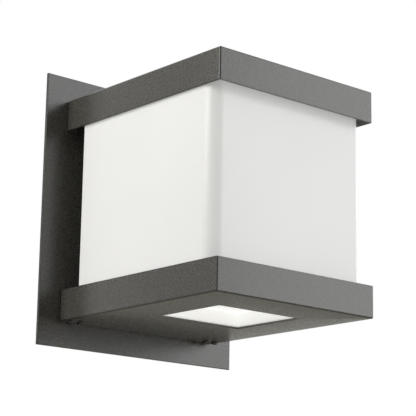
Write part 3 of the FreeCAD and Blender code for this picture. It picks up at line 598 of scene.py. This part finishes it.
# rows of (inset from the outline, depth from the closed face), from the flat round the fold, down the
# wall, round its cut edge and back up the inside; with how much painted shade each row takes at the bend and
# the cut edge
def rimRows(height):
    look = rimLook
    t = np.linspace(0, halfPi, look["bendSteps"])
    bend, sheet, inside, cut = look["bend"], look["sheet"], look["insideBend"], look["cutEdge"]
    outer = [(bend * (1 - np.sin(a)), bend * (1 - np.cos(a)), np.sin(2 * a) ** 0.5) for a in t]
    down = [(0, sheet, 0), (0, height - look["flat"], 0), (0, height - 2 * cut, 0.9), (0, height - cut, 1),
            (0.3 * cut, height - 0.3 * cut, 1), (cut, height, 0.6), (sheet - cut, height, 0.6),
            (sheet - 0.3 * cut, height - 0.3 * cut, 0.6), (sheet, height - cut, 0)]
    up = [(sheet, sheet + inside, 0), (sheet + 0.3 * inside, sheet + 0.3 * inside, 0),
          (sheet + inside, sheet, 0)]
    return np.array(outer + down + up), len(outer), len(outer) + len(down) + len(up) - 1


# a folded tray: rounded rings, one for each row, with more rings down through a hole in its floor; the
# wall is left out of the rear side's middle; also how much painted shade each point takes at a bend, corner
# or edge
def foldedTray(low, high, closedZ, openSide, hole=None):
    look = rimLook
    rows, edgeRow, ceilingRow = rimRows(high[2] - low[2])
    backX = (high[0] - low[0]) / 2 - look["returnWidth"]
    rearXs = np.array([1, 0.5, 0, -0.5, -1]) * backX
    rings = [roundedRing(low[0] + d, high[0] - d, low[1] + d, high[1] - d,
                         max(look["bend"] - d, look["cutEdge"]), closedZ + openSide * h, rearXs,
                         look["cornerSteps"])
             for d, h, bent in rows]
    bent = list(rows[:, 2])
    count = len(rings[0])
    if hole is not None:
        holeXs = rearXs / backX * (hole[1] - hole[0]) / 2 * 0.9
        cut, sheet, flat = look["holeEdge"], look["sheet"], look["flat"]
        rings += [roundedRing(hole[0] - d, hole[1] + d, hole[2] - d, hole[3] + d, look["holeCorner"],
                              closedZ + openSide * h, holeXs, look["cornerSteps"])
                  for d, h in ((flat, sheet), (cut, sheet), (0, sheet - cut), (0, cut), (cut, 0), (flat, 0))]
        bent += [0, 0.5, 0.5, 0.8, 0.8, 0]
    allRows = len(rings)
    corner = np.zeros(count)
    arc = np.sin(2 * np.linspace(0, halfPi, look["cornerSteps"])).clip(0) ** 0.5
    corner[len(rearXs):] = np.tile(arc, 4)
    onWall = (np.arange(allRows) < ceilingRow - 2).astype(float)
    # painted shade marks: bends, cut edges and the wall's vertical corners
    marks = np.maximum(np.array(bent)[:, None] * np.ones(count), onWall[:, None] * corner[None, :])
    quads = np.array(gridQuads(allRows, count, wrapRows=hole is not None))
    row, col = quads[:, 0] // count, quads[:, 0] % count
    rearMiddle = col < len(rearXs) - 1
    inWall = (row >= edgeRow) & (row < ceilingRow)
    faces = quads[~(rearMiddle & inWall)].tolist()
    for c in range(len(rearXs) - 1):                      # the sheet's rear edge across the opening
        a, b = edgeRow * count, ceilingRow * count
        faces.append([a + c, a + c + 1, b + c + 1, b + c])
    for c in (0, len(rearXs) - 1):                        # the ends of the two rear returns
        faces.append([r * count + c for r in range(edgeRow, ceilingRow + 1)])
    if hole is None:
        faces += [list(range(count)), list(range((allRows - 1) * count, allRows * count))]
    return (np.concatenate(rings), faces), marks.reshape(-1)


capLow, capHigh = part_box("top_cap")
shape, marks = foldedTray(capLow, capHigh, capHigh.z, -1)
standIn("topCap", "top_cap", shape, marks=marks)

trayLow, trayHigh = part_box("bottom_tray")
collarLow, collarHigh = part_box("window_collar")
paneLow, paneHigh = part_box("window_pane")
windowLook = {"step": 1.5 * mm, "sheet": 1.2 * mm, "foot": 10.0 * mm, "bend": 0.6 * mm, "cutEdge": 0.2 * mm,
              "corner": 1.0 * mm, "paneCorner": 1.2 * mm, "paneEdge": 0.3 * mm, "gasketCorner": 1.2 * mm,
              "gasketLip": 1.0 * mm, "gasketBulge": 0.25 * mm, "gasketSqueeze": 0.1 * mm}
windowInset = windowLook["step"] + windowLook["sheet"]
window = (paneLow.x + windowInset, paneHigh.x - windowInset,
          paneLow.y + windowInset, paneHigh.y - windowInset)
shape, marks = foldedTray(trayLow, trayHigh, trayLow.z, 1, window)
standIn("bottomTray", "bottom_tray", shape, marks=marks)
print("cap and tray folded")


# ---- diffuser

diffuserLook = {"wall": 4.0 * mm, "bend": 14.0 * mm, "edge": 0.6 * mm, "bellPlace": 6.0 * mm,
                "bellWidth": 6.0 * mm}
diffLow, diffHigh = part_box("diffuser")


# the profile is the sheet's section: its outer face, eased top, inner face and eased foot
def diffuserShape():
    look = diffuserLook
    corners = [(0, diffLow.z), (0, diffHigh.z), (-look["wall"], diffHigh.z), (-look["wall"], diffLow.z)]
    return uBand(eased(corners, look["edge"], 4), diffHigh.x, diffHigh.y, diffLow.y, look["bend"])


# how much painted shade a point of the diffuser takes at a bend: a bell round the middle of each corner
def bendMarks(points):
    fromCorner = np.hypot(np.abs(points[:, 0]) - diffHigh.x, points[:, 1] - diffLow.y)
    return np.exp(-((fromCorner - diffuserLook["bellPlace"]) / diffuserLook["bellWidth"]) ** 2)


shape = diffuserShape()
standIn("diffuserSheet", "diffuser", shape, sharp=40, marks=bendMarks(shape[0]))


# ---- window: collar, gasket, pane and clips

# a profile of (outset, height) carried round the window, one step outside its edge; corner gives the
# corner's radius for each outset
def roundWindow(profile, corner):
    x0, x1, y0, y1 = window
    rings = []
    for outset, z in profile:
        d = windowLook["step"] + outset
        rings.append(roundedRing(x0 - d, x1 + d, y0 - d, y1 + d, corner(outset), z, [0.0]))
    return np.concatenate(rings), gridQuads(len(profile), len(rings[0]), wrapRows=True)


# foot, rounded bend and upright wall
def collarShape():
    look = windowLook
    z0, z1 = collarLow.z, collarHigh.z
    line = [(look["foot"], z0), (0, z0), (0, z1)]
    section = sheetOutline(line, -look["sheet"], look["bend"], look["cutEdge"])
    return roundWindow(section, lambda outset: look["corner"] + max(outset, 0))


# a rectangle with bulging sides, from the lip inside the collar's edge out to the collar's wall
def gasketShape():
    look = windowLook
    low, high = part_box("pane_gasket")
    middle, lip, outer = (low.z + high.z) / 2, look["gasketLip"], look["sheet"]
    squeeze = look["gasketSqueeze"]
    profile = [(0.3 * lip, low.z), (-lip, low.z), (-lip - look["gasketBulge"], middle), (-lip, high.z),
               (outer - squeeze, high.z), (outer, middle), (outer - squeeze, low.z)]
    return roundWindow(profile, lambda outset: look["gasketCorner"])


# painted glow: emission brightens the window collar, gasket and pane, standing in for the light in the window
# well
standIn("windowCollar", "window_collar", collarShape(), sharp=40, material=whiteCoat("collarCoat", 0.36))
standIn("paneGasket", "pane_gasket", gasketShape(), material=whiteCoat("gasketSilicone", 0.36))
standIn("windowPane", "window_pane",
        plateShape(paneLow.x, paneHigh.x, paneLow.y, paneHigh.y, paneLow.z, paneHigh.z,
                   windowLook["paneCorner"], windowLook["paneEdge"]),
        material=opalAcrylic("paneOpal", through=0.4, shade=1.0))

clipLook = {"sheet": 0.8 * mm, "reach": 6.0 * mm, "width": 12.0 * mm, "apart": 56.0 * mm,
            "curl": 1.5 * mm, "curlRise": 0.4 * mm, "bend": 0.3 * mm, "cutEdge": 0.15 * mm}


# a spring clip: an upright leg, a bend over the pane and a curled-up tip
def clipShape(side, middleY):
    look = clipLook
    low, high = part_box("pane_clips")
    x, top = paneHigh.x, paneHigh.z
    tip = x - look["reach"]
    line = [(x, low.z), (x, top), (tip + look["curl"], top), (tip, top + look["curlRise"])]
    section = sheetOutline(line, -look["sheet"], look["bend"], look["cutEdge"]) * np.array([side, 1])
    return pushed(section, (0, 0, 0), (1, 0, 0), (0, 0, 1), -middleY - look["width"] / 2,
                  -middleY + look["width"] / 2)


clipMiddle = (paneLow.y + paneHigh.y) / 2
standIn("paneClips", "pane_clips", [clipShape(side, clipMiddle + way * clipLook["apart"] / 2)
                                    for side in (1, -1) for way in (-1, 1)])
print("window made")


# ---- screws, nuts and studs

screwLook = {"headHeight": 2.2 * mm, "holderHeadHeight": 2.4 * mm, "pitch": 0.7 * mm, "shank": 0.58}


# a screw in the place of each solid of a node: it lies along the solid's longest side, with its head at
# the low end
def screwsFor(pieceName, node, headHeight=screwLook["headHeight"]):
    screws = []
    for low, high in solidBoxes(node):
        size = high - low
        along = int(np.argmax(size))
        inward = np.eye(3)[along]
        headEnd = (low + high) / 2
        headEnd[along] = low[along]
        headRadius = size[(along + 1) % 3] / 2
        screws.append(socketScrew(headEnd + inward * headHeight, inward, headRadius * screwLook["shank"],
                                  size[along] - headHeight, headRadius, headHeight, screwLook["pitch"]))
    standIn(pieceName, node, screws)


screwsFor("traySocketScrews", "tray_screws")
screwsFor("panelSocketScrews", "panel_screws")
screwsFor("lampholderSocketScrews", "lampholder_screws", screwLook["holderHeadHeight"])
screwsFor("diffuserSocketScrews", "diffuser_screws")

nutLook = {"capBore": 2.55 * mm, "studPitch": 0.8 * mm, "pressBore": 2.05 * mm, "flange": 1.0 * mm,
           "easing": 0.2 * mm, "countersink": 0.4 * mm, "flare": 1.15, "body": 0.86, "bodyTop": 0.8}


def underMiddle(low, high):
    return (low[0] + high[0]) / 2, (low[1] + high[1]) / 2, low[2]


standIn("capHexNuts", "cap_nuts", [
    hexNut(underMiddle(low, high), (0, 0, 1.0), high[2] - low[2], min(high[0] - low[0], high[1] - low[1]),
           nutLook["capBore"]) for low, high in solidBoxes("cap_nuts")])
standIn("capThreadedStuds", "cap_studs", [
    threadedRod(underMiddle(low, high), (0, 0, 1.0), (high[0] - low[0]) / 2, high[2] - low[2],
                nutLook["studPitch"]) for low, high in solidBoxes("cap_studs")])


# a press nut: a thin flange under a round body, with a countersunk bore
def pressNut(low, high):
    look = nutLook
    radius, height = (high[0] - low[0]) / 2, high[2] - low[2]
    bore, sink, edge, flange = look["pressBore"], look["countersink"], look["easing"], look["flange"]
    mouth, body = bore * look["flare"], radius * look["body"]
    profile = [(bore, sink), (mouth, 0), (radius - edge, 0), (radius, edge), (radius, flange - edge),
               (body, flange), (body, height - 1.5 * edge), (radius * look["bodyTop"], height),
               (mouth, height), (bore, height - sink)]
    return turned(profile, underMiddle(low, high), (0, 0, 1.0), 40, hollow=True)


standIn("trayPressNuts", "tray_nuts", [pressNut(low, high) for low, high in solidBoxes("tray_nuts")])

rivetLook = {"head": 1.0 * mm, "segments": 32, "shank": 0.58, "shankEnd": 0.52, "chamfer": 0.3 * mm,
             "rim": 0.94, "dimple": 0.24, "dimpleFloor": 0.2}


# a blind rivet: a low domed head on its seat with the broken stem's dimple, and a short shank
def domeRivet(low, high):
    look = rivetLook
    middle, half = (low + high) / 2, (high - low) / 2
    side = np.sign(middle[0])
    head, count = look["head"], look["segments"]
    radius, length = half[1], 2 * half[0] - head
    t = np.linspace(0, halfPi, 7)[:-1]
    shank = [(radius * look["shankEnd"], -length), (radius * look["shank"], -length + look["chamfer"]),
             (radius * look["shank"], 0), (radius * look["rim"], 0)]
    dome = np.stack([radius * np.cos(t), head * np.sin(t)], -1)
    dimple = [(radius * look["dimple"], head), (radius * look["dimpleFloor"], head * 0.6)]
    profile = np.concatenate([shank, dome, dimple])
    seat = np.array([side * (abs(middle[0]) + half[0] - head), middle[1], middle[2]])
    points, faces = turned(profile, seat, (side, 0, 0), count)
    last = (len(profile) - 1) * count
    return points, faces + [list(range(count))[::-1], list(range(last, last + count))]


standIn("bracketRivets", "bracket_rivets",
        [domeRivet(low, high) for low, high in solidBoxes("bracket_rivets")])
print("fixings made")


# ---- seals and grommet

sealLook = {"capSealWidth": 6.3 * mm, "bulge": 0.25 * mm, "channelLip": 1.2 * mm, "softEdge": 0.35 * mm,
            "foamEdge": 0.5 * mm, "stripEdge": 0.3 * mm}


# foam band round the diffuser's top: a rectangle with slightly bulging sides carried along the U
def capSealShape():
    low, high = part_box("top_seal")
    outset = high.x - diffHigh.x
    width, bulge = sealLook["capSealWidth"], sealLook["bulge"]
    z0, z1 = low.z, high.z
    middle = (z0 + z1) / 2
    outline = eased([(outset - bulge, z0), (outset, middle), (outset - bulge, z1),
                     (outset - width + bulge, z1), (outset - width, middle), (outset - width + bulge, z0)],
                    sealLook["foamEdge"])
    return uBand(outline, diffHigh.x, diffHigh.y, diffLow.y, diffuserLook["bend"])


# rubber channel on the diffuser's lower edge: a thin outer lip, a base and a thicker inner lip
def channelShape():
    low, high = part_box("diffuser_seal")
    lip, wall, soft = sealLook["channelLip"], diffuserLook["wall"], sealLook["softEdge"]
    thin = high.x - diffHigh.x
    foot = diffLow.z
    outline = [(thin, low.z), (thin, high.z), (0, high.z), (0, foot), (-wall, foot), (-wall, high.z),
               (-wall - lip, high.z), (-wall - lip, low.z)]
    radii = np.array([soft, thin / 4, thin / 4, thin / 4, soft, soft, soft, soft])
    return uBand(eased(outline, radii), diffHigh.x, diffHigh.y, diffLow.y, diffuserLook["bend"])


# foam strips beside the rear panel: bulging rectangles pushed upwards
def sideStripShapes():
    bulge, edge = sealLook["bulge"], sealLook["stripEdge"]
    strips = []
    for low, high in solidBoxes("side_seals"):
        middle = (low[0] + high[0]) / 2
        outline = [(low[0], low[1] + bulge), (middle, low[1]), (high[0], low[1] + bulge),
                   (high[0], high[1] - bulge), (middle, high[1]), (low[0], high[1] - bulge)]
        strips.append(pushed(eased(outline, edge), (0, 0, 0), (1, 0, 0), (0, 1, 0), low[2], high[2]))
    return strips


standIn("capSeal", "top_seal", capSealShape())
standIn("diffuserChannel", "diffuser_seal", channelShape(), sharp=50)
standIn("sideStrips", "side_seals", sideStripShapes(), sharp=50)

# profiles here are (radius, distance from the wall); the far rim is told from the flange and the sheet
grommetLook = {"bore": 4.5 * mm, "neck": 10.0 * mm, "flange": 13.0 * mm, "rimRound": 0.9 * mm,
               "sheetFront": -5.0 * mm, "slack": 0.1 * mm, "mouth": 0.8 * mm, "rib": 0.5 * mm, "ribs": 3,
               "farRim": np.array([(-0.8, 0.2), (0.0, 1.2), (-0.8, 2.2)]) * mm,
               "taper": 0.8, "taperRise": 3.4 * mm, "tailWall": 1.6 * mm, "tailMouth": 1.0 * mm,
               "tailEdge": 0.4 * mm}


# a cable grommet: two rounded flanges on a neck, a tapered tail and ribs in the bore
def grommetShape():
    look = grommetLook
    low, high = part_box("cable_grommet")
    length = high.y - low.y
    sheetFront = high.y - look["sheetFront"]
    flange, neck, bore = look["flange"], look["neck"], look["bore"]
    r = look["rimRound"]
    t = np.linspace(-halfPi, halfPi, 7)
    nearRim = np.stack([flange - r + r * np.cos(t), r + r * np.sin(t)], -1)
    tail = [(neck * look["taper"], sheetFront + look["taperRise"]),
            (bore + look["tailWall"], length - look["tailEdge"]), (bore + look["tailMouth"], length)]
    turnsOfRib = np.linspace(0, 2 * np.pi * look["ribs"], 25)
    ribs = np.stack([bore + look["rib"] * (0.5 - 0.5 * np.cos(turnsOfRib)),
                     np.linspace(length - 0.3 * mm, 0.5 * mm, 25)], -1)
    profile = np.concatenate([
        [(bore + look["mouth"], 0)], nearRim,
        [(neck, 2 * r + look["slack"]), (neck, sheetFront + look["slack"])],
        look["farRim"] + [flange, sheetFront], tail, ribs])
    middle = ((low.x + high.x) / 2, high.y, (low.z + high.z) / 2)
    return turned(profile, middle, (0, -1.0, 0), 64, hollow=True)


standIn("cableGrommet", "cable_grommet", grommetShape(), sharp=45)
print("seals made")


# ---- bulb

bulbLook = {"neck": 14.2 * mm, "wall": 1.2 * mm, "ribs": 24, "ribDepth": 0.35 * mm, "capRoom": 10.0 * mm,
            "easing": 0.2 * mm, "neckRim": ((0.0, 9.5 * mm), (0.5 * mm, 9.2 * mm), (0.8 * mm, 9.4 * mm))}


# the housing: a smooth S between the neck and the wide rim, gently fluted between its two ends; the neck
# stops below the screw cap, and its rim is (inset, depth below the node's top)
def housingShape():
    look = bulbLook
    low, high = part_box("bulb_housing")
    wide, length = high.x, high.z - low.z - look["capRoom"]
    s = np.linspace(0, 1, 34)
    curve = s * s * (3 - 2 * s)
    radius = wide + (look["neck"] - wide) * curve
    outer = np.stack([radius - look["easing"] * ((s < 0.01) | (s > 0.99)), low.z + s * length], -1)
    inner = outer[::-1] - np.array([look["wall"], 0])
    rim = [(look["neck"] - inset, high.z - depth) for inset, depth in look["neckRim"]]
    profile = np.concatenate([outer, rim, inner])

    def fluted(radiusGrid, height, angle):
        level = np.clip((height - low.z) / length, 0, 1)
        depth = look["ribDepth"] * np.sin(np.pi * level) ** 2
        return radiusGrid - depth * (0.5 - 0.5 * np.cos(look["ribs"] * angle)) ** 4

    return turned(profile, (0, (low.y + high.y) / 2, 0), (0, 0, 1.0), 192, hollow=True, shapeRadius=fluted)


# the opal dome: a circle's arc from its rim to the pole, with an inner wall back up
def domeShape():
    low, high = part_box("bulb_envelope")
    outer = (high.x - low.x) / 2
    centre = low.z + outer
    rimAngle = np.arcsin(np.clip((high.z - centre) / outer, -1, 1))
    t = np.linspace(rimAngle, -halfPi, 32)
    outside = np.stack([outer * np.cos(t), centre + outer * np.sin(t)], -1)
    within = outer - bulbLook["wall"]
    inside = np.stack([within * np.cos(t[::-1]), centre + within * np.sin(t[::-1])], -1)
    outside[-1, 0] = inside[0, 0] = 0
    inside[-1, 1] = high.z
    profile = np.concatenate([outside, inside])
    return turned(profile, (0, (low.y + high.y) / 2, 0), (0, 0, 1.0), 96, hollow=True)


standIn("bulbHousing", "bulb_housing", housingShape(), sharp=40)
standIn("bulbDome", "bulb_envelope", domeShape(), sharp=50)
print("bulb made")


# ---- camera, floor and lights

cameraLook = {"azimuth": -40.71, "elevation": -13.61, "roll": 0.98, "lens": 134.56, "sensor": 36.0,
              "distance": 1545.2 * mm, "across": -3.8 * mm, "down": 14.7 * mm,
              "aim": (0.0, -103.0 * mm, -13.5 * mm), "clip": (0.05, 50.0)}


# looks at the aim point from azimuth and elevation, then moves sideways and down in its own view
def makeCamera():
    look = cameraLook
    a, e, roll = np.radians([look["azimuth"], look["elevation"], look["roll"]])
    back = np.array([np.sin(a) * np.cos(e), -np.cos(a) * np.cos(e), np.sin(e)])
    right = np.cross(-back, [0, 0, 1.0])
    right /= np.linalg.norm(right)
    up = np.cross(right, -back)
    right, up = np.cos(roll) * right + np.sin(roll) * up, -np.sin(roll) * right + np.cos(roll) * up
    place = np.array(look["aim"]) - look["across"] * right + look["down"] * up + look["distance"] * back
    data = bpy.data.cameras.new("camera")
    data.lens = look["lens"]
    data.sensor_width = look["sensor"]
    data.clip_start, data.clip_end = look["clip"]
    camera = bpy.data.objects.new("camera", data)
    turn = Matrix(np.stack([right, up, back], -1).tolist()).to_4x4()
    camera.matrix_world = Matrix.Translation(Vector(place)) @ turn
    bpy.context.scene.collection.objects.link(camera)
    bpy.context.scene.camera = camera


stageLook = {"floorZ": -1.7, "floorSize": 40.0, "floorThickness": 0.02, "floorCorner": 0.5,
             "floorEdge": 0.005, "floor": (0.52, 0.50, 0.43), "floorCloud": 0.98, "floorGlow": 0.58,
             "backdrop": 1.0, "fill": 0.31, "bright": 1.5, "brightSide": (0.65, 0.75, -0.1),
             "turn": (0.1, 0.65)}


# a pale floor well below the lantern, flat with rounded corners, and a studio that is white where it is
# seen and lights the lantern more from one side than from the rest
def makeStage():
    look = stageLook
    half = look["floorSize"] / 2
    points, faces = plateShape(-half, half, -half, half, look["floorZ"] - look["floorThickness"],
                               look["floorZ"], look["floorCorner"], look["floorEdge"])
    mesh = bpy.data.meshes.new("floor")
    mesh.from_pydata(points.tolist(), [], faces)
    sheet = NodeSheet("floorPaint", Roughness=0.9, Emission_Color=(1.0, 0.99, 0.96, 1.0))
    seen = sheet.add("ShaderNodeLightPath").outputs["Is Camera Ray"]       # glows only where it is seen
    sheet.link(sheet.maths("MULTIPLY", seen, look["floorGlow"]), sheet.shader.inputs["Emission Strength"])
    cloud = tuple(look["floorCloud"] * c for c in look["floor"])
    sheet.colour(sheet.mix(sheet.noise(3.0, 2.0), look["floor"], cloud))
    mesh.materials.append(sheet.material)
    floor = bpy.data.objects.new("floor", mesh)
    bpy.context.scene.collection.objects.link(floor)
    world = bpy.data.worlds.new("studio")
    world.use_nodes = True
    tree = world.node_tree
    background = tree.nodes["Background"]
    background.inputs["Color"].default_value = (1.0, 1.0, 1.0, 1.0)
    facing = tree.nodes.new("ShaderNodeVectorMath")
    facing.operation = "DOT_PRODUCT"
    facing.inputs[1].default_value = look["brightSide"]
    tree.links.new(tree.nodes.new("ShaderNodeTexCoord").outputs["Generated"], facing.inputs[0])
    around = tree.nodes.new("ShaderNodeMapRange")            # the room is brighter on one side
    around.inputs["From Min"].default_value, around.inputs["From Max"].default_value = look["turn"]
    around.inputs["To Min"].default_value = look["fill"]
    around.inputs["To Max"].default_value = look["bright"]
    tree.links.new(facing.outputs["Value"], around.inputs["Value"])
    seen = tree.nodes.new("ShaderNodeLightPath").outputs["Is Camera Ray"]
    strength = tree.nodes.new("ShaderNodeMapRange")          # and plain white wherever it is seen
    strength.inputs["To Max"].default_value = look["backdrop"]
    tree.links.new(seen, strength.inputs["Value"])
    tree.links.new(around.outputs["Result"], strength.inputs["To Min"])
    tree.links.new(strength.outputs["Result"], background.inputs["Strength"])
    bpy.context.scene.world = world


# place and size are in metres and power in watts
lightAim = Vector((0.0, -0.12, 0.0))
lightLook = {
    "frontRight": {"place": (1.45, -1.7, 0.5), "size": (1.6, 2.0), "power": 19.0,
                   "colour": (0.98, 0.99, 1.0)},
    "left": {"place": (-1.7, 0.05, 1.1), "size": (1.4, 1.4), "power": 27.0,
             "colour": (1.0, 0.985, 0.94)},
}


def makeLights():
    for name, look in lightLook.items():
        data = bpy.data.lights.new(name, "AREA")
        data.shape = "RECTANGLE"
        data.size, data.size_y = look["size"]
        data.energy = look["power"]
        data.color = look["colour"]
        light = bpy.data.objects.new(name, data)
        light.location = look["place"]
        light.rotation_euler = (lightAim - Vector(look["place"])).to_track_quat("-Z", "Y").to_euler()
        bpy.context.scene.collection.objects.link(light)


makeCamera()
makeStage()
makeLights()
bpy.context.scene.view_settings.view_transform = "Standard"
print("camera, floor and lights placed")
